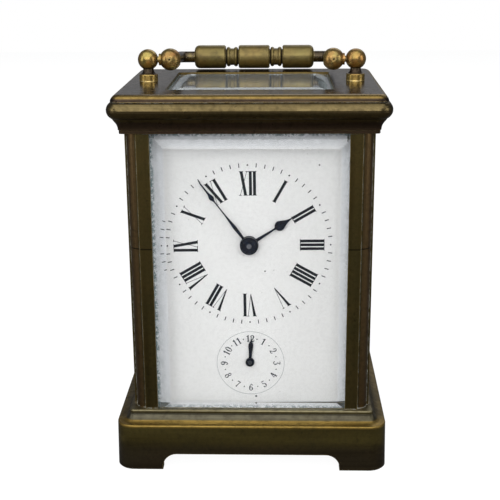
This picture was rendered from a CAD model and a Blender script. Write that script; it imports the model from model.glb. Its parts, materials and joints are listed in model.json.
import json
import math

import bmesh
import bpy
from mathutils import Matrix, Vector
from mathutils.geometry import delaunay_2d_cdt

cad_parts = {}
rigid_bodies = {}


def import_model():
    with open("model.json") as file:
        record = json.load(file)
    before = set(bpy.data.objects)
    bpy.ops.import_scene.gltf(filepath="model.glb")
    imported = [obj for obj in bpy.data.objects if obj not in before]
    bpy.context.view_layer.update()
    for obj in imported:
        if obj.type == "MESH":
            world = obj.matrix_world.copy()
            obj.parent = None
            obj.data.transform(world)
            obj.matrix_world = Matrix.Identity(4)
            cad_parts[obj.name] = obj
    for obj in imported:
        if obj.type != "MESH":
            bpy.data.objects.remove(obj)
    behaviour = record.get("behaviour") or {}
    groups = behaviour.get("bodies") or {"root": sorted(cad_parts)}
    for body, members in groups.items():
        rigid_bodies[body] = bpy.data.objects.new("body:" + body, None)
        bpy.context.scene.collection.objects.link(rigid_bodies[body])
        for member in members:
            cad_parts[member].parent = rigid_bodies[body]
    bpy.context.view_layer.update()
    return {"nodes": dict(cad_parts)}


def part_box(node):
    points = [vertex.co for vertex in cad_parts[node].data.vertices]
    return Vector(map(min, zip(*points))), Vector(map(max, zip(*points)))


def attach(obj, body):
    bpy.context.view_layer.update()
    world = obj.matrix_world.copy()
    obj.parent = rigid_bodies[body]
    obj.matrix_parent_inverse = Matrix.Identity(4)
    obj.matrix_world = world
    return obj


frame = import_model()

MM = 0.001
FULL_TURN = 2 * math.pi

# ---- places read from the frame ---------------------------------------------
NODES = frame["nodes"]
DIAL_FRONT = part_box("dial")[0].y
BASE_LOW, BASE_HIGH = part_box("base_plinth")
CORNICE_LOW, CORNICE_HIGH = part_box("cornice")


def hub(node):
    """Where a hand's arbor comes through the dial: the middle of its arbor's box, in X and Z."""
    low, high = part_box(node)
    middle = (low + high) / 2
    return Vector((middle.x, middle.z))


# ---- the camera and the light -------------------------------------------------
CAMERA_AT = Vector((0.01037, -0.37272, 0.18186))
CAMERA_DOWN = math.radians(16.57)
CAMERA_LEFT = math.radians(1.76)
CAMERA_ROLL = math.radians(-0.41)
LENS = 73.5
SENSOR = 36
# What every light faces: the middle of the clock
CLOCK_MIDDLE = Vector((0, 0, 0.07))
# Each softbox: its name, place, width, height and watts
SOFTBOXES = (
    ("key", (-0.15, -1.15, 0.62), 1.4, 0.7, 11.3),
    ("skylight", (-0.05, -0.35, 0.88), 1.6, 0.85, 9.0),
    ("window_left", (-0.80, -0.35, 0.32), 0.3, 0.6, 1.7),
    ("window_right", (0.85, -0.35, 0.32), 0.3, 0.6, 2.0),
    ("wall", (0, 1.3, 0.42), 1.5, 0.6, 0.42),
    ("lamp_behind", (0.25, 0.85, 0.80), 0.9, 0.5, 2.0),
)
BACKDROP = (1, 1, 1, 1)
DIM_ROOM = (0.10, 0.105, 0.12, 1)


def make_camera():
    """A short telephoto a little above the clock, looking down at its dial."""
    data = bpy.data.cameras.new("camera")
    data.lens = LENS
    data.sensor_width = SENSOR
    data.clip_start = 0.01
    data.clip_end = 20
    ahead = Vector((
        -math.sin(CAMERA_LEFT) * math.cos(CAMERA_DOWN),
        math.cos(CAMERA_LEFT) * math.cos(CAMERA_DOWN),
        -math.sin(CAMERA_DOWN),
    ))
    level = Vector((math.cos(CAMERA_LEFT), math.sin(CAMERA_LEFT), 0))
    above = level.cross(ahead)
    right = level * math.cos(CAMERA_ROLL) + above * math.sin(CAMERA_ROLL)
    up = above * math.cos(CAMERA_ROLL) - level * math.sin(CAMERA_ROLL)
    camera = bpy.data.objects.new("camera", data)
    facing = Matrix((right, up, -ahead)).transposed().to_4x4()
    camera.matrix_world = Matrix.Translation(CAMERA_AT) @ facing
    bpy.context.scene.collection.objects.link(camera)
    bpy.context.scene.camera = camera


def softbox(name, place, width, height, power):
    """A white rectangular area light at place, facing the clock and unseen by the camera."""
    data = bpy.data.lights.new(name, "AREA")
    data.shape = "RECTANGLE"
    data.size = width
    data.size_y = height
    data.energy = power
    light = bpy.data.objects.new(name, data)
    light.location = place
    aim = CLOCK_MIDDLE - Vector(place)
    light.rotation_mode = "QUATERNION"
    light.rotation_quaternion = aim.to_track_quat("-Z", "Y")
    light.visible_camera = False
    bpy.context.scene.collection.objects.link(light)
    return light


def spare_the_dial(light):
    """Keeps a light off the dial, so that the cornice casts no shadow of it there."""
    lit = bpy.data.collections.new(light.name + "_receivers")
    for piece in bpy.context.scene.objects:
        if piece.type == "MESH" and piece is not NODES["dial"]:
            lit.objects.link(piece)
    light.light_linking.receiver_collection = lit


def make_lights():
    """The softboxes, in a dim room that looks white to the camera."""
    for name, place, width, height, power in SOFTBOXES:
        light = softbox(name, place, width, height, power)
        if name == "skylight":
            spare_the_dial(light)
    world = bpy.data.worlds.new("room")
    bpy.context.scene.world = world
    world.use_nodes = True
    tree = world.node_tree
    tree.nodes.clear()
    seen = tree.nodes.new("ShaderNodeBackground")
    seen.inputs["Color"].default_value = BACKDROP
    room = tree.nodes.new("ShaderNodeBackground")
    room.inputs["Color"].default_value = DIM_ROOM
    path = tree.nodes.new("ShaderNodeLightPath")
    mixed = tree.nodes.new("ShaderNodeMixShader")
    out = tree.nodes.new("ShaderNodeOutputWorld")
    tree.links.new(path.outputs["Is Camera Ray"], mixed.inputs["Fac"])
    tree.links.new(room.outputs[0], mixed.inputs[1])
    tree.links.new(seen.outputs[0], mixed.inputs[2])
    tree.links.new(mixed.outputs[0], out.inputs["Surface"])
    bpy.context.scene.view_settings.view_transform = "Standard"


# ---- node graphs ---------------------------------------------------------------
class Shader:
    """A material and its node tree, with one short call for each kind of node."""

    def __init__(self, name):
        self.material = bpy.data.materials.new(name)
        self.material.use_nodes = True
        self.tree = self.material.node_tree
        self.tree.nodes.clear()
        self.place = self.node("TexCoord").outputs["Object"]

    def node(self, kind, inputs=None, **settings):
        """A new shader node of this kind, with its inputs and its other settings filled in."""
        made = self.tree.nodes.new("ShaderNode" + kind)
        for name, value in settings.items():
            setattr(made, name, value)
        for name, value in (inputs or {}).items():
            self.put(made.inputs[name], value)
        return made

    def put(self, socket, value):
        """Links the socket to another socket, or sets it to a colour or a number."""
        if isinstance(value, bpy.types.NodeSocket):
            self.tree.links.new(value, socket)
        elif isinstance(value, tuple) and socket.type == "RGBA":
            socket.default_value = (*value, 1)
        else:
            socket.default_value = value

    def noise(self, size, detail=3, stretch=(1, 1, 1), shift=0.0, roughness=0.55):
        """A noise whose features are about size metres across, drawn out by stretch."""
        mapped = self.node("Mapping", {
            "Vector": self.place,
            "Location": (shift, shift * 2, -shift),
            "Scale": tuple(1 / s for s in stretch),
        })
        made = self.node("TexNoise", {
            "Vector": mapped.outputs[0],
            "Scale": 1 / size,
            "Detail": detail,
            "Roughness": roughness,
        })
        return made.outputs["Fac"]

    def cells(self, size, shift=0.0):
        """The distance to the nearest of some points scattered about size metres apart."""
        mapped = self.node("Mapping", {"Vector": self.place, "Location": (shift, -shift, shift)})
        made = self.node("TexVoronoi", {"Vector": mapped.outputs[0], "Scale": 1 / size})
        return made.outputs["Distance"]

    def remap(self, value, low, high, to_low=0.0, to_high=1.0):
        """to_low where value is low or past it, and to_high where it is high or past that."""
        made = self.node("MapRange", {
            "Value": value,
            "From Min": low,
            "From Max": high,
            "To Min": to_low,
            "To Max": to_high,
        })
        return made.outputs["Result"]

    def math(self, operation, a, b=0.0):
        """The result of an operation on one or two values."""
        made = self.node("Math", operation=operation)
        self.put(made.inputs[0], a)
        self.put(made.inputs[1], b)
        return made.outputs[0]

    def blend(self, factor, a, b, kind="MIX"):
        """Colour a where factor is 0, and b where it is 1."""
        made = self.node("Mix", data_type="RGBA", blend_type=kind)
        self.put(made.inputs["Factor"], factor)
        self.put(made.inputs[6], a)
        self.put(made.inputs[7], b)
        return made.outputs[2]

    def axis(self, name):
        """How far along an axis of the piece each point lies."""
        parts = self.node("SeparateXYZ", {"Vector": self.place})
        return parts.outputs[name]

    def edges(self, radius, low=0.02, high=0.22):
        """1 on corners sharper than radius, where hands and cloths rub, and 0 on flats."""
        rounded = self.node("Bevel", {"Radius": radius}, samples=6).outputs["Normal"]
        flat = self.node("NewGeometry").outputs["Normal"]
        product = self.node("VectorMath", operation="DOT_PRODUCT")
        self.put(product.inputs[0], rounded)
        self.put(product.inputs[1], flat)
        return self.remap(self.math("SUBTRACT", 1.0, product.outputs["Value"]), low, high)

    def crevices(self, reach, low=0.35, high=0.9, neighbours=False):
        """1 in corners and grooves narrower than reach, between this piece and itself, or with
        neighbours between this piece and any other too."""
        made = self.node("AmbientOcclusion", {"Distance": reach}, samples=6, only_local=not neighbours)
        return self.remap(made.outputs["AO"], high, low)

    def band(self, axis, low, high, soft):
        """1 between low and high along an axis of the piece, fading to 0 over soft beyond them."""
        place = self.axis(axis)
        rising = self.remap(place, low - soft, low)
        falling = self.remap(place, high + soft, high)
        return self.math("MULTIPLY", rising, falling)

    def facing(self, name):
        """How far the surface faces along an axis, from -1 to 1."""
        parts = self.node("SeparateXYZ", {"Vector": self.node("NewGeometry").outputs["Normal"]})
        return parts.outputs[name]

    def rounded(self):
        """1 on upright rounded corners, whose normals lie between the axes, and 0 on flat faces."""
        across = self.math("ABSOLUTE", self.facing("X"))
        ahead = self.math("ABSOLUTE", self.facing("Y"))
        return self.remap(self.math("MAXIMUM", across, ahead), 0.999, 0.97)

    def near(self, point, radius):
        """1 within about radius of a point of the piece, and 0 beyond."""
        gap = self.node("VectorMath", operation="DISTANCE")
        self.put(gap.inputs[0], self.place)
        gap.inputs[1].default_value = point
        return self.remap(gap.outputs["Value"], radius, 0.6 * radius)

    def bump(self, height, depth, strength=1.0, normal=None):
        """The normal of a surface that rises by depth where height is 1."""
        made = self.node("Bump", {"Height": height, "Distance": depth, "Strength": strength})
        if normal is not None:
            self.put(made.inputs["Normal"], normal)
        return made.outputs["Normal"]

    def finish(self, shader):
        """The finished material, with this shader as its surface."""
        out = self.node("OutputMaterial")
        self.tree.links.new(shader, out.inputs["Surface"])
        return self.material


# ---- materials -------------------------------------------------------------------
# How far round a corner the rubbing reaches, and how wide are the grooves that hold grime
# and dried polish
RUBBED_REACH = 0.5 * MM
GRIME_REACH = 2.5 * MM
POLISH_REACH = 0.8 * MM
DRIED_POLISH = (0.50, 0.52, 0.48)
STREAK_TINT = (0.45, 0.42, 0.40)
# How far behind the front the bands of colour fade, and to what share of their strength
BAND_FADE = 5 * MM
BAND_LEFT = 0.25
LINE_DEPTH = 0.02 * MM
PIT_DEPTH = 0.05 * MM


def aged_brass(name, patina, warm, dark, rubbed, rough=0.34, wear=0.6, grime=0.8, residue=0.0,
               gloss=0.0, grain=(1, 1, 1), spots=0.35, cloud=14 * MM, relief=1.0, bare=1.0,
               corners=None, bands=(), front=None):
    """Old brass: patina in two browns, dark stains, grime in grooves, bare metal on rubbed edges.

    residue is how much dried polish lies in the sharpest inner corners, and gloss how much
    smoother the upward faces are. grain stretches the fine lines of the polishing, and cloud
    is how large the changes of colour are. bare is how metallic the skin still is. corners
    colours the rounded upright corners, and each of bands is an axis, two places along it,
    how softly the band ends, its colour and how strong it is. Bands are fainter behind front.
    """
    s = Shader(name)
    clouds = s.noise(cloud, 5)
    mottle = s.noise(2.2 * MM, 6, shift=0.3, roughness=0.65)
    lines = s.noise(0.35 * MM, 3, stretch=grain, shift=0.7)
    streaks = s.noise(3 * MM, 4, stretch=grain, shift=2.7)
    body = s.blend(s.remap(clouds, 0.36, 0.66), patina, warm)
    if corners:
        body = s.blend(s.math("MULTIPLY", s.rounded(), 0.9), body, corners)
    for axis, low, high, soft, colour, strength in bands:
        uneven = s.remap(clouds, 0.3, 0.5, 0.75 * strength, strength)
        if front is not None:
            behind = s.remap(s.axis("Y"), front, front + BAND_FADE, 1, BAND_LEFT)
            uneven = s.math("MULTIPLY", uneven, behind)
        body = s.blend(s.math("MULTIPLY", s.band(axis, low, high, soft), uneven), body, colour)
    darker = s.blend(1.0, body, STREAK_TINT, kind="MULTIPLY")
    body = s.blend(s.remap(streaks, 0.42, 0.72, 0, 0.7), body, darker)
    body = s.blend(s.remap(mottle, 0.45, 0.75, 0, 0.5), body, dark)
    stains = s.noise(5 * MM, 4, shift=1.9, roughness=0.7)
    body = s.blend(s.remap(stains, 0.60, 0.70, 0, spots), body, dark)
    patches = s.math("MULTIPLY", s.edges(RUBBED_REACH), s.remap(mottle, 0.25, 0.6, 0.35, 1))
    patches = s.math("MULTIPLY", patches, wear)
    body = s.blend(patches, body, rubbed)
    dirt = s.math("MULTIPLY", s.crevices(GRIME_REACH), grime)
    body = s.blend(dirt, body, dark)
    dull = s.remap(mottle, 0.3, 0.7, rough - 0.07, rough + 0.13)
    if gloss:
        dull = s.math("SUBTRACT", dull, s.remap(s.facing("Z"), 0.9, 0.99, 0, gloss))
    dull = s.math("ADD", dull, s.math("MULTIPLY", dirt, 0.25))
    dull = s.math("SUBTRACT", dull, s.math("MULTIPLY", patches, 0.10))
    if residue:
        flakes = s.remap(s.noise(1.6 * MM, 5, shift=5.1, roughness=0.7), 0.40, 0.58)
        corner = s.crevices(POLISH_REACH, 0.42, 0.72, neighbours=True)
        paste = s.math("MULTIPLY", s.math("MULTIPLY", corner, flakes), residue)
        body = s.blend(paste, body, DRIED_POLISH)
        dull = s.math("ADD", dull, s.math("MULTIPLY", paste, 0.4))
        bare = s.math("MULTIPLY", bare, s.math("SUBTRACT", 1.0, paste))
    skin = s.bump(lines, LINE_DEPTH, 0.6 * relief)
    skin = s.bump(mottle, PIT_DEPTH, 0.5 * relief, skin)
    metal = s.node("BsdfPrincipled", {
        "Base Color": body,
        "Metallic": bare,
        "Roughness": dull,
        "Normal": skin,
    })
    return s.finish(metal.outputs[0])


def movement_metal(name, colour, tarnish, rough=0.25, grain=(1, 1, 1), stain=0.3):
    """Clean metal of the movement: fine graining, light tarnish and a few finger marks."""
    s = Shader(name)
    clouds = s.noise(8 * MM, 4, shift=2.0)
    lines = s.noise(0.25 * MM, 3, stretch=grain, shift=0.2)
    marks = s.noise(3 * MM, 6, shift=4.0, roughness=0.7)
    body = s.blend(s.remap(clouds, 0.4, 0.75, 0, stain), colour, tarnish)
    body = s.blend(s.remap(marks, 0.58, 0.75, 0, stain), body, tarnish)
    body = s.blend(s.math("MULTIPLY", s.crevices(1.2 * MM), 0.6), body, tarnish)
    dull = s.remap(lines, 0.3, 0.7, rough - 0.06, rough + 0.10)
    metal = s.node("BsdfPrincipled", {
        "Base Color": body,
        "Metallic": 1.0,
        "Roughness": dull,
        "Normal": s.bump(lines, 0.012 * MM, 0.5),
    })
    return s.finish(metal.outputs[0])


def blued_steel(name, colour, sheen):
    """Steel heated until it is blue, so dark that only its highlights show the colour."""
    s = Shader(name)
    clouds = s.noise(1.5 * MM, 4, shift=1.0)
    lines = s.noise(0.2 * MM, 3, shift=0.4)
    metal = s.node("BsdfPrincipled", {
        "Base Color": s.blend(s.remap(clouds, 0.4, 0.7), colour, sheen),
        "Metallic": 1.0,
        "Roughness": s.remap(lines, 0.3, 0.7, 0.22, 0.38),
        "Normal": s.bump(lines, 0.01 * MM, 0.4),
    })
    return s.finish(metal.outputs[0])


# Chips in the enamel: their places across and up, and their sizes, in millimetres
DIAL_CHIPS = ((24.0, 109.0, 0.36), (5.0, 70.3, 0.36), (13.4, 117.1, 0.26), (1.6, 21.6, 0.5))
CHIP_COLOUR = (0.04, 0.04, 0.045)
WHITE_ENAMEL = (0.79, 0.775, 0.77)
DUSTY_ENAMEL = (0.75, 0.74, 0.74)
ENAMEL_SPECK = (0.25, 0.24, 0.23)


def enamel(name):
    """White vitreous enamel: a glassy coat with faint waves, a little dust and a few black specks."""
    s = Shader(name)
    waves = s.noise(9 * MM, 2)
    dust = s.noise(1.2 * MM, 5, shift=2.2, roughness=0.7)
    specks = s.cells(5.5 * MM, shift=0.013)
    body = s.blend(s.remap(dust, 0.5, 0.8, 0, 0.5), WHITE_ENAMEL, DUSTY_ENAMEL)
    body = s.blend(s.remap(specks, 0.035, 0.02), body, ENAMEL_SPECK)
    for x, z, size in DIAL_CHIPS:
        chip = s.near((x * MM, DIAL_FRONT, z * MM), size * MM)
        body = s.blend(chip, body, CHIP_COLOUR)
    glaze = s.node("BsdfPrincipled", {
        "Base Color": body,
        "Roughness": s.remap(dust, 0.3, 0.7, 0.22, 0.34),
        "Coat Weight": 0.6,
        "Coat Roughness": 0.06,
        "Normal": s.bump(waves, 0.05 * MM, 0.3),
    })
    return s.finish(glaze.outputs[0])


def dial_ink(name, ink, worn, wear):
    """Fired black paint on the enamel, with little shine, thin where it has rubbed away."""
    s = Shader(name)
    thin = s.noise(0.7 * MM, 4, shift=3.3, roughness=0.6)
    body = s.blend(s.remap(thin, 0.5, 0.72, 0, wear), ink, worn)
    paint = s.node("BsdfPrincipled", {
        "Base Color": body,
        "Roughness": s.remap(thin, 0.3, 0.7, 0.3, 0.5),
        "Specular IOR Level": 0.12,
        "Normal": s.bump(thin, 0.01 * MM, 0.4),
    })
    return s.finish(paint.outputs[0])


BEVEL = 5.1 * MM
GLASS_BODY = (0.985, 0.990, 0.987)
GLASS_SHADOW = (0.93, 0.95, 0.95)
GLASS_DUST = (0.55, 0.60, 0.62)
OLD_PUTTY = (0.10, 0.17, 0.165)
PUTTY_REACH = 1.7 * MM


def bevelled_glass(name, low, high, across, along, tint=(0.88, 0.90, 0.93), veil=0.0):
    """Old plate glass, slightly blue and dusty where it thins towards its edges.

    across and along name the pane's two long axes, low and high are its corners, tint is the
    colour of its bevels, and veil is how much dust lies all over it. Old putty lies against
    the metal.
    """
    s = Shader(name)
    nearest = None
    for axis in (across, along):
        number = "XYZ".index(axis)
        middle = (low[number] + high[number]) / 2
        half = (high[number] - low[number]) / 2
        away = s.math("ABSOLUTE", s.math("SUBTRACT", s.axis(axis), middle))
        inside = s.math("SUBTRACT", half, away)
        nearest = inside if nearest is None else s.math("MINIMUM", nearest, inside)
    film = s.noise(2.5 * MM, 4, shift=1.1, roughness=0.6)
    border = s.remap(nearest, BEVEL, BEVEL * 0.45)
    dust = s.math("MULTIPLY", border, s.remap(film, 0.35, 0.75, 0.04, 0.16))
    dust = s.math("ADD", dust, s.remap(film, 0.62, 0.85, veil, veil + 0.02))
    thin = s.remap(nearest, BEVEL + 0.1 * MM, BEVEL - 0.3 * MM)
    glass = s.node("BsdfPrincipled", {
        "Base Color": s.blend(thin, GLASS_BODY, tint),
        "Roughness": 0.0,
        "IOR": 1.5,
        "Transmission Weight": 1.0,
    })
    clear = s.node("BsdfTransparent", {"Color": GLASS_SHADOW})
    shadow = s.node("LightPath").outputs["Is Shadow Ray"]
    lit = s.node("MixShader", {"Fac": shadow})
    s.tree.links.new(glass.outputs[0], lit.inputs[1])
    s.tree.links.new(clear.outputs[0], lit.inputs[2])
    flakes = s.remap(s.noise(1.2 * MM, 5, shift=6.3, roughness=0.7), 0.42, 0.55)
    putty = s.math("MULTIPLY", s.crevices(PUTTY_REACH, 0.52, 0.88, neighbours=True), flakes)
    dust = s.math("MAXIMUM", dust, s.math("MULTIPLY", putty, 0.8))
    powder = s.node("BsdfPrincipled", {
        "Base Color": s.blend(putty, GLASS_DUST, OLD_PUTTY),
        "Roughness": 0.9,
    })
    both = s.node("MixShader", {"Fac": dust})
    s.tree.links.new(lit.outputs[0], both.inputs[1])
    s.tree.links.new(powder.outputs[0], both.inputs[2])
    return s.finish(both.outputs[0])


FLOOR_GLOW = 0.95
CARD = (0.10, 0.10, 0.10)
CARD_GRAIN = (0.12, 0.12, 0.12)


def floor_material(name):
    """Plain card with a barely visible grain, as pale to the camera as an overlit studio sweep."""
    s = Shader(name)
    grain = s.noise(0.8 * MM, 4)
    card = s.node("BsdfPrincipled", {
        "Base Color": s.blend(s.remap(grain, 0.3, 0.7), CARD, CARD_GRAIN),
        "Roughness": 0.9,
        "Normal": s.bump(grain, 0.02 * MM, 0.3),
    })
    seen = s.node("LightPath").outputs["Is Camera Ray"]
    strength = s.math("MULTIPLY", seen, FLOOR_GLOW)
    glow = s.node("Emission", {"Color": (1.0, 1.0, 1.0), "Strength": strength})
    both = s.node("AddShader")
    s.tree.links.new(card.outputs[0], both.inputs[0])
    s.tree.links.new(glow.outputs[0], both.inputs[1])
    return s.finish(both.outputs[0])


# ---- the colours of the case -------------------------------------------------------
CASE_SOOT = (0.008, 0.006, 0.0035)
CASE_RUBBED = (0.62, 0.45, 0.17)
HANDLE_SOOT = (0.022, 0.015, 0.007)
HANDLE_RUBBED = (0.60, 0.46, 0.18)
# The two browns of each patina
BASE_PATINA = ((0.068, 0.055, 0.026), (0.086, 0.062, 0.027))
CORNICE_PATINA = ((0.082, 0.060, 0.031), (0.102, 0.064, 0.028))
PILLAR_PATINA = ((0.088, 0.070, 0.025), (0.108, 0.078, 0.026))
GRIP_PATINA = ((0.140, 0.111, 0.032), (0.158, 0.111, 0.032))
POST_PATINA = ((0.32, 0.25, 0.070), (0.34, 0.17, 0.050))
ARM_PATINA = ((0.30, 0.23, 0.075), (0.32, 0.16, 0.050))
PILLAR_CORNERS = (0.168, 0.107, 0.048)
# Bands of colour, as (low, high, softness, colour, strength) in millimetres.
# The base's are measured down from its upper rim
BASE_BANDS = (
    (-9.0, -4.6, 8.0, (0.125, 0.098, 0.026), 0.9),   # the upper part of its face
    (-4.8, -3.5, 0.4, (0.26, 0.17, 0.038), 1.0),     # the face's top edge and the cavetto's foot
    (-3.1, -1.3, 0.4, (0.085, 0.079, 0.056), 0.9),   # the rest of the cavetto
    (-0.4, 0.0, 0.2, (0.20, 0.18, 0.11), 0.7),       # the rim
)
# The foot of the base, measured up from the floor
FOOT_BANDS = ((0.0, 8.0, 3.0, (0.042, 0.031, 0.018), 0.7),)
# The cornice's are measured up from its lower edge
CORNICE_BANDS = (
    (0.0, 4.4, 0.2, (0.066, 0.042, 0.026), 1.0),     # the cove
    (4.6, 7.0, 1.0, (0.100, 0.072, 0.028), 1.0),     # the lower part of the torus
    (8.5, 10.4, 1.5, (0.118, 0.090, 0.040), 1.0),    # the upper part of the torus
    (10.8, 11.6, 0.3, (0.030, 0.021, 0.016), 1.0),   # the foot of the quarter-round over it
    (12.2, 13.0, 0.3, (0.22, 0.15, 0.045), 1.0),     # the quarter-round's shoulder
)
# The posts' are measured up from the top of the cornice
POST_BANDS = (
    (2.6, 4.6, 0.3, (0.035, 0.026, 0.020), 0.95),    # the neck
    (-1.0, 2.2, 0.2, (0.36, 0.25, 0.07), 0.9),       # the collar
)
# A fine dark line across each pillar, a little above the hands' arbor
PILLAR_MARK_UP = 1.1
PILLAR_MARK = ((PILLAR_MARK_UP, PILLAR_MARK_UP + 0.15, 0.25, CASE_SOOT, 0.9),)
# The rods of the handle are dark behind their balls
ARM_BANDS = ((5.0, 80.0, 1.5, (0.050, 0.040, 0.026), 0.95),)


def bands_from(axis, start, bands):
    """The bands, which are measured from start along the axis, in the form aged_brass takes."""
    return tuple(
        (axis, start + low * MM, start + high * MM, soft * MM, colour, strength)
        for low, high, soft, colour, strength in bands
    )


def dress(material, *names):
    """Gives CAD nodes this material in place of the plain one they came with."""
    for name in names:
        for slot in NODES[name].material_slots:
            slot.material = material


def dress_case():
    """Dark, stained brass on the base, cornice, pillars and rear door."""
    face, *upper = bands_from("Z", BASE_HIGH.z, BASE_BANDS)
    foot = bands_from("Z", BASE_LOW.z, FOOT_BANDS)
    base = aged_brass(
        "base_brass", *BASE_PATINA, CASE_SOOT, CASE_RUBBED, rough=0.36, grime=0.3, wear=0.9,
        grain=(30, 1, 1), residue=0.5, relief=0.6, bare=0.9, front=BASE_LOW.y + 5 * MM,
        bands=(face, *foot, *upper))
    dress(base, "base_plinth")
    cornice = aged_brass(
        "cornice_brass", *CORNICE_PATINA, CASE_SOOT, CASE_RUBBED, rough=0.32, grime=0.7,
        grain=(30, 1, 1), wear=0.3, gloss=0.16, residue=0.4, spots=0.4, relief=0.3,
        bands=bands_from("Z", CORNICE_LOW.z, CORNICE_BANDS))
    dress(cornice, "cornice")
    pillar = aged_brass(
        "pillar_brass", *PILLAR_PATINA, CASE_SOOT, CASE_RUBBED, rough=0.34,
        grain=(1, 1, 40), residue=1.0, wear=0.5, relief=0.7, corners=PILLAR_CORNERS,
        bands=bands_from("Z", hub("cannon_pinion").y, PILLAR_MARK))
    dress(pillar, "door_frame", *[n for n in NODES if n.startswith("pillar_")])


def dress_handle():
    """Brighter brass on the handle, where hands keep it rubbed, and on the door's knob."""
    grip = aged_brass(
        "grip_brass", *GRIP_PATINA, HANDLE_SOOT, HANDLE_RUBBED, rough=0.36, wear=0.5,
        grime=1.0, grain=(25, 1, 1), spots=0.3, relief=0.3, bare=0.65)
    dress(grip, "handle_grip", "door_knob")
    post = aged_brass(
        "post_brass", *POST_PATINA, HANDLE_SOOT, HANDLE_RUBBED, rough=0.28, wear=0.6,
        grime=1.0, spots=0.4, cloud=4 * MM, relief=0.3, bare=0.85, residue=0.6,
        bands=bands_from("Z", CORNICE_HIGH.z, POST_BANDS))
    dress(post, "handle_post_left", "handle_post_right")
    arm = aged_brass(
        "arm_brass", *ARM_PATINA, HANDLE_SOOT, HANDLE_RUBBED, rough=0.28, wear=0.6,
        grime=1.0, spots=0.5, cloud=4 * MM, relief=0.3, bare=0.85,
        bands=bands_from("Y", 0, ARM_BANDS))
    dress(arm, "handle_arm_left", "handle_arm_right")


# Each pane and its two long axes
PANES = (
    ("front_glass", "X", "Z"),
    ("door_glass", "X", "Z"),
    ("left_glass", "Y", "Z"),
    ("right_glass", "Y", "Z"),
    ("top_glass", "X", "Y"),
)
TOP_GLASS_TINT = (0.60, 0.70, 0.68)
TOP_GLASS_VEIL = 0.06


def dress_glass():
    """Bevelled glass in the five windows, dustiest in the top one."""
    for name, across, along in PANES:
        low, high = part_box(name)
        if name == "top_glass":
            pane = bevelled_glass(
                name + "_pane", low, high, across, along, TOP_GLASS_TINT, TOP_GLASS_VEIL)
        else:
            pane = bevelled_glass(name + "_pane", low, high, across, along)
        dress(pane, name)


def dress_movement():
    """The dial and its blued hands, and the cleaner brass and steel behind them."""
    dress(enamel("white_enamel"), "dial")
    dress(blued_steel("blued_steel", (0.006, 0.009, 0.018), (0.014, 0.026, 0.060)),
          "minute_hand", "hour_hand", "alarm_hand")
    dress(blued_steel("blue_spring", (0.03, 0.06, 0.22), (0.06, 0.12, 0.38)),
          "hairspring", "click_springs")
    plate = movement_metal("plate_brass", (0.62, 0.47, 0.20), (0.30, 0.20, 0.08), rough=0.34,
                           grain=(1, 1, 30))
    dress(plate, "front_plate", "back_plate", "plate_pillars", "platform", "balance_cock",
          "dial_feet", "movement_feet", "barrel_cover", "bell_stand")
    wheel = movement_metal("wheel_brass", (0.74, 0.58, 0.26), (0.36, 0.25, 0.10), rough=0.22)
    dress(wheel, "centre_wheel", "minute_wheel", "hour_wheel", "going_barrel", "third_wheel",
          "contrate_wheel", "alarm_idler", "alarm_wheel", "alarm_barrel", "balance_wheel")
    dark = movement_metal("dark_steel", (0.10, 0.11, 0.13), (0.03, 0.03, 0.035), rough=0.3)
    dress(dark, "cannon_pinion", "alarm_arbor")
    grey = movement_metal("grey_steel", (0.30, 0.31, 0.33), (0.10, 0.10, 0.11), rough=0.3)
    dress(grey, "centre_arbor")
    steel = movement_metal("polished_steel", (0.56, 0.57, 0.59), (0.20, 0.17, 0.14), rough=0.2)
    dress(steel, "winding_arbor", "winding_ratchet", "winding_click", "escape_wheel", "lever",
          "alarm_winding", "alarm_click", "alarm_verge", "hammer", "plate_screws",
          "movement_screws")
    bell = movement_metal("bell_metal", (0.66, 0.62, 0.52), (0.30, 0.25, 0.16), rough=0.16)
    dress(bell, "bell")
    screws = movement_metal("screw_brass", (0.45, 0.35, 0.16), (0.16, 0.11, 0.05), rough=0.3)
    dress(screws, "case_screws")


# ---- the print on the dial ----------------------------------------------------------
# Outlines are lists of (across, up) points in millimetres, with up away from the dial's centre.
PRINT_PROUD = 0.03 * MM
BLACK_INK = (0.002, 0.003, 0.006)
BLUED_INK = (0.006, 0.009, 0.018)
FADED_INK = (0.008, 0.010, 0.016)
RING_INK = (0.22, 0.23, 0.24)
PRINT_TURN = math.radians(-0.54)
STROKE = 1.04
HAIR = 0.17
HAIR_SERIF = 0.4
I_WIDTH = 1.42
V_WIDTH = 3.5
X_WIDTH = 3.3
NUMERAL_LOW = 18.15
NUMERAL_HIGH = 26.87
TRACK_R = 29.05
TICK_LEN = 1.5
TICK_W = 0.33
TRACK_DOT_R = 0.30
ALARM_RING_R = 12.35
ALARM_RING_W = 0.14
ALARM_DIGIT_R = 9.65
ALARM_DIGIT_H = 2.6
ALARM_DOT_R = 0.24
# The lower hours of the alarm ring are turned to be read from below
ALARM_UPRIGHT = (4, 5, 6, 7, 8)
# Where the print's two centres lie from the arbors
MAIN_OFF = Vector((-0.15, -0.35)) * MM
ALARM_OFF = Vector((0.20, -0.70)) * MM


def slant(x0, y0, x1, y1, width):
    """A straight stroke with level ends, from (x0, y0) to (x1, y1)."""
    h = width / 2
    return [(x0 - h, y0), (x0 + h, y0), (x1 + h, y1), (x1 - h, y1)]


def serif(x, y, width, reach=0.26, flare=0.22):
    """A hairline foot across a stroke's end at height y, with a small flare into the stroke."""
    inward = 1 if y < (NUMERAL_LOW + NUMERAL_HIGH) / 2 else -1
    half = width / 2
    tip = y + inward * HAIR
    return [
        [(x - half - reach, y), (x + half + reach, y), (x + half + reach, tip),
         (x - half - reach, tip)],
        [(x - half - flare / 2, tip), (x + half + flare / 2, tip), (x + half, tip + inward * flare),
         (x - half, tip + inward * flare)],
    ]


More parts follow.
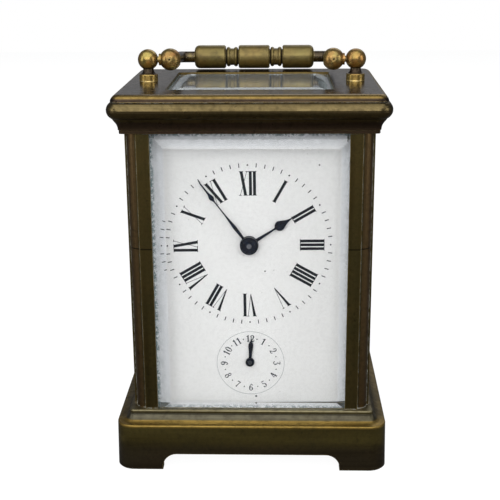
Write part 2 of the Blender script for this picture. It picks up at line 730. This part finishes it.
def letter_i(x):
    """One thick upright stroke."""
    low, high = NUMERAL_LOW, NUMERAL_HIGH
    return [slant(x, low, x, high, STROKE), *serif(x, low, STROKE), *serif(x, high, STROKE)]


def letter_v(x):
    """The thick stroke falls from the left to the point, and a hairline rises to the right."""
    low, high = NUMERAL_LOW, NUMERAL_HIGH
    left, right = x - 1.05, x + 1.35
    half = STROKE / 2
    thick = [(left - half, high), (left + half, high), (x + 0.46, low + 0.5), (x + 0.22, low)]
    return [thick, slant(x + 0.3, low + 0.3, right, high, HAIR), *serif(left, high, STROKE),
            *serif(right, high, HAIR, HAIR_SERIF)]


def letter_x(x):
    """A thick stroke from the top left and a hairline from the top right."""
    low, high = NUMERAL_LOW, NUMERAL_HIGH
    foot, head = x + 0.65, x - 0.85
    thin_foot, thin_head = x - 1.25, x + 1.15
    return [slant(foot, low, head, high, STROKE), slant(thin_foot, low, thin_head, high, HAIR),
            *serif(head, high, STROKE), *serif(foot, low, STROKE),
            *serif(thin_head, high, HAIR, HAIR_SERIF), *serif(thin_foot, low, HAIR, HAIR_SERIF)]


LETTERS = {"I": (letter_i, I_WIDTH), "V": (letter_v, V_WIDTH), "X": (letter_x, X_WIDTH)}
ROMAN = ("XII", "I", "II", "III", "IIII", "V", "VI", "VII", "VIII", "IX", "X", "XI")


def roman_numeral(word):
    """The outlines of a numeral, centred on 0."""
    total = sum(LETTERS[c][1] for c in word)
    x = -total / 2
    outlines = []
    for c in word:
        draw, width = LETTERS[c]
        outlines += draw(x + width / 2)
        x += width
    return outlines


def disc(x, y, radius, sides=16):
    """A round dot."""
    turns = [FULL_TURN * k / sides for k in range(sides)]
    return [(x + radius * math.cos(t), y + radius * math.sin(t)) for t in turns]


def ring(radius, width, sides=128):
    """A thin ring as short pieces that share their ends."""
    outlines = []
    for k in range(sides):
        a, b = FULL_TURN * k / sides, FULL_TURN * (k + 1) / sides
        inner, outer = radius - width / 2, radius + width / 2
        outlines.append([
            (inner * math.cos(a), inner * math.sin(a)),
            (outer * math.cos(a), outer * math.sin(a)),
            (outer * math.cos(b), outer * math.sin(b)),
            (inner * math.cos(b), inner * math.sin(b)),
        ])
    return outlines


# The finest pen line of a digit one unit high
FINEST = 0.095


def brush(points, closed=False, steps=5):
    """A pen stroke through (x, y, width) points on a smooth curve, as short pieces."""
    count = len(points)
    spans = count if closed else count - 1
    line = []
    for k in range(spans):
        ends = [points[(k + d) % count] if closed else points[min(max(k + d, 0), count - 1)]
                for d in (-1, 0, 1, 2)]
        for step in range(steps):
            t = step / steps
            weights = (
                0.5 * (-t + 2 * t**2 - t**3),
                0.5 * (2 - 5 * t**2 + 3 * t**3),
                0.5 * (t + 4 * t**2 - 3 * t**3),
                0.5 * (t**3 - t**2),
            )
            line.append([sum(w * p[i] for w, p in zip(weights, ends)) for i in range(3)])
    line.append(list(points[0] if closed else points[-1]))
    sides = []
    for k, (x, y, width) in enumerate(line):
        before = line[-2] if closed and k == 0 else line[max(k - 1, 0)]
        after = line[1] if closed and k == len(line) - 1 else line[min(k + 1, len(line) - 1)]
        dx, dy = after[0] - before[0], after[1] - before[1]
        size = math.hypot(dx, dy) or 1
        half = max(width, FINEST) / 2
        nx, ny = -dy / size * half, dx / size * half
        sides.append(((x + nx, y + ny), (x - nx, y - ny)))
    return [[a[0], a[1], b[1], b[0]] for a, b in zip(sides, sides[1:])]


def oval(x, y, rx, ry, thick=0.17, thin=0.05, sides=10):
    """An upright oval with heavy sides and fine ends."""
    points = []
    for k in range(sides):
        t = FULL_TURN * k / sides
        weight = thin + (thick - thin) * abs(math.cos(t)) ** 1.5
        points.append((x + rx * math.cos(t), y + ry * math.sin(t), weight))
    return brush(points, closed=True)


def box_outline(x0, y0, x1, y1):
    """An upright rectangle, alone in a list."""
    return [[(x0, y0), (x1, y0), (x1, y1), (x0, y1)]]


def bowl():
    """The open lower bowl that 3 and 5 share, with its ball."""
    curve = [(0.24, 0.60, 0.05), (0.43, 0.50, 0.13), (0.50, 0.29, 0.17), (0.40, 0.07, 0.09),
             (0.24, 0.01, 0.05), (0.10, 0.10, 0.06)]
    return brush(curve) + [disc(0.12, 0.16, 0.085)]


def six():
    """A closed bowl and a back that ends in a ball, which upside down make a nine."""
    back = [(0.11, 0.34, 0.17), (0.14, 0.66, 0.14), (0.27, 0.93, 0.06), (0.40, 0.96, 0.05),
            (0.47, 0.86, 0.05)]
    return oval(0.29, 0.29, 0.19, 0.27) + brush(back) + [disc(0.45, 0.83, 0.08)]


def digit(character):
    """The outlines of a digit one unit high and about 0.6 wide, with heavy stems and hairlines."""
    if character == "0":
        return oval(0.29, 0.5, 0.20, 0.475)
    if character == "1":
        return box_outline(0.21, 0, 0.39, 1) + box_outline(0.10, 0, 0.50, 0.05) + brush(
            [(0.08, 0.80, 0.05), (0.20, 0.86, 0.08), (0.30, 0.98, 0.05)])
    if character == "2":
        arch = [(0.08, 0.74, 0.06), (0.14, 0.92, 0.05), (0.29, 0.98, 0.05), (0.45, 0.88, 0.13),
                (0.47, 0.70, 0.17), (0.34, 0.42, 0.10), (0.14, 0.17, 0.06), (0.06, 0.03, 0.05)]
        foot = [(0.06, 0.06, 0.06), (0.20, 0.11, 0.15), (0.36, 0.05, 0.13), (0.48, 0.08, 0.06),
                (0.53, 0.25, 0.04)]
        return brush(arch) + brush(foot) + [disc(0.12, 0.73, 0.085)]
    if character == "3":
        neck = brush([(0.49, 0.93, 0.05), (0.24, 0.60, 0.05)])
        return box_outline(0.08, 0.89, 0.50, 1) + neck + bowl()
    if character == "4":
        return box_outline(0.30, 0, 0.47, 1) + box_outline(0.20, 0, 0.56, 0.05) + box_outline(
            0.01, 0.26, 0.58, 0.32) + brush([(0.38, 0.98, 0.05), (0.03, 0.29, 0.05)])
    if character == "5":
        return box_outline(0.11, 0.87, 0.47, 0.99) + box_outline(0.10, 0.55, 0.15, 0.99) + brush(
            [(0.12, 0.57, 0.05), (0.24, 0.62, 0.05)]) + bowl()
    if character == "6":
        return six()
    if character == "7":
        leg = [(0.50, 0.93, 0.05), (0.34, 0.55, 0.09), (0.26, 0.25, 0.15), (0.24, 0.02, 0.18)]
        return box_outline(0.06, 0.86, 0.52, 0.99) + box_outline(0.06, 0.78, 0.10, 0.99) + brush(leg)
    if character == "8":
        return oval(0.29, 0.75, 0.155, 0.215, 0.14) + oval(0.29, 0.27, 0.19, 0.25)
    return [[(0.58 - x, 1 - y) for x, y in outline] for outline in six()]


def arabic_numeral(word, height):
    """The outlines of a whole number, centred on 0 and height millimetres high."""
    advance = 0.60
    outlines = []
    for k, c in enumerate(word):
        shift = (k - len(word) / 2) * advance + 0.01
        outlines += [[((x + shift) * height, (y - 0.5) * height) for x, y in o] for o in digit(c)]
    return outlines


def turned(outlines, angle, lift=0.0):
    """The outlines lifted by lift and turned clockwise about the centre."""
    c, s = math.cos(angle), math.sin(angle)
    return [[(x * c + (y + lift) * s, -x * s + (y + lift) * c) for x, y in o] for o in outlines]


def printed(name, outlines, centre, material):
    """A thin closed layer on the dial's front with these outlines, which may overlap each other."""
    points = []
    loops = []
    for outline in outlines:
        area = sum(a[0] * b[1] - b[0] * a[1] for a, b in zip(outline, outline[1:] + outline[:1]))
        ordered = outline if area > 0 else outline[::-1]
        loops.append(list(range(len(points), len(points) + len(ordered))))
        points += [Vector(p) for p in ordered]
    flat_points, _, flat_faces, _, _, sources = delaunay_2d_cdt(points, [], loops, 1, 1e-4)
    mesh = bmesh.new()
    back = DIAL_FRONT + PRINT_PROUD / 3
    made = [mesh.verts.new((centre[0] + p.x * MM, back, centre[1] + p.y * MM)) for p in flat_points]
    for face, source in zip(flat_faces, sources):
        if source:
            mesh.faces.new([made[i] for i in face])
    bmesh.ops.dissolve_limit(mesh, angle_limit=0.001, verts=mesh.verts, edges=mesh.edges)
    front = bmesh.ops.extrude_face_region(mesh, geom=mesh.faces[:])
    moved = [v for v in front["geom"] if isinstance(v, bmesh.types.BMVert)]
    bmesh.ops.translate(mesh, verts=moved, vec=(0, -PRINT_PROUD * 4 / 3, 0))
    bmesh.ops.delete(mesh, geom=[v for v in mesh.verts if not v.link_faces], context="VERTS")
    bmesh.ops.recalc_face_normals(mesh, faces=mesh.faces)
    data = bpy.data.meshes.new(name)
    mesh.to_mesh(data)
    mesh.free()
    data.materials.append(material)
    piece = bpy.data.objects.new(name, data)
    bpy.context.scene.collection.objects.link(piece)
    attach(piece, "case")
    return piece


def make_print():
    """Roman hours, a minute track, and a small alarm ring with its own twelve hours."""
    ink = dial_ink("dial_ink", BLACK_INK, (0.02, 0.024, 0.035), 0.4)
    pale_ink = dial_ink("pale_dial_ink", BLUED_INK, (0.30, 0.31, 0.33), 0.6)
    grey_ink = dial_ink("track_ink", FADED_INK, (0.12, 0.12, 0.14), 0.5)
    main = hub("cannon_pinion") + MAIN_OFF
    alarm = hub("alarm_arbor") + ALARM_OFF
    hours = []
    for k, word in enumerate(ROMAN):
        hours += turned(roman_numeral(word), FULL_TURN * k / 12 + PRINT_TURN)
    printed("hour_numerals", hours, main, ink)
    track = []
    dot = disc(0, 0, TRACK_DOT_R)
    tick = slant(0, -TICK_LEN / 2, 0, TICK_LEN / 2, TICK_W)
    for minute in range(60):
        mark = dot if minute % 5 == 0 else tick
        track += turned([mark], FULL_TURN * minute / 60 + PRINT_TURN, TRACK_R)
    printed("minute_track", track, main, grey_ink)
    digits = []
    dots = []
    for hour in range(1, 13):
        angle = FULL_TURN * hour / 12 + PRINT_TURN
        figure = arabic_numeral(str(hour), ALARM_DIGIT_H)
        if hour in ALARM_UPRIGHT:
            figure = turned(figure, math.pi)
        digits += turned(figure, angle, ALARM_DIGIT_R)
        dots += turned([disc(0, 0, ALARM_DOT_R, 12)], angle + FULL_TURN / 24, ALARM_DIGIT_R)
    printed("alarm_numerals", digits + dots, alarm, pale_ink)
    thin_ink = dial_ink("ring_ink", RING_INK, (0.6, 0.6, 0.6), 0.7)
    printed("alarm_ring", ring(ALARM_RING_R, ALARM_RING_W), alarm, thin_ink)


# ---- the floor ----------------------------------------------------------------------
FLOOR_HALF = 1.5


def make_floor():
    """A square of card under the clock."""
    mesh = bmesh.new()
    bmesh.ops.create_grid(mesh, x_segments=4, y_segments=4, size=FLOOR_HALF)
    data = bpy.data.meshes.new("floor")
    mesh.to_mesh(data)
    mesh.free()
    data.materials.append(floor_material("floor_card"))
    floor = bpy.data.objects.new("floor", data)
    floor.location.z = BASE_LOW.z
    bpy.context.scene.collection.objects.link(floor)


make_camera()
dress_case()
dress_handle()
dress_glass()
dress_movement()
make_print()
make_floor()
make_lights()
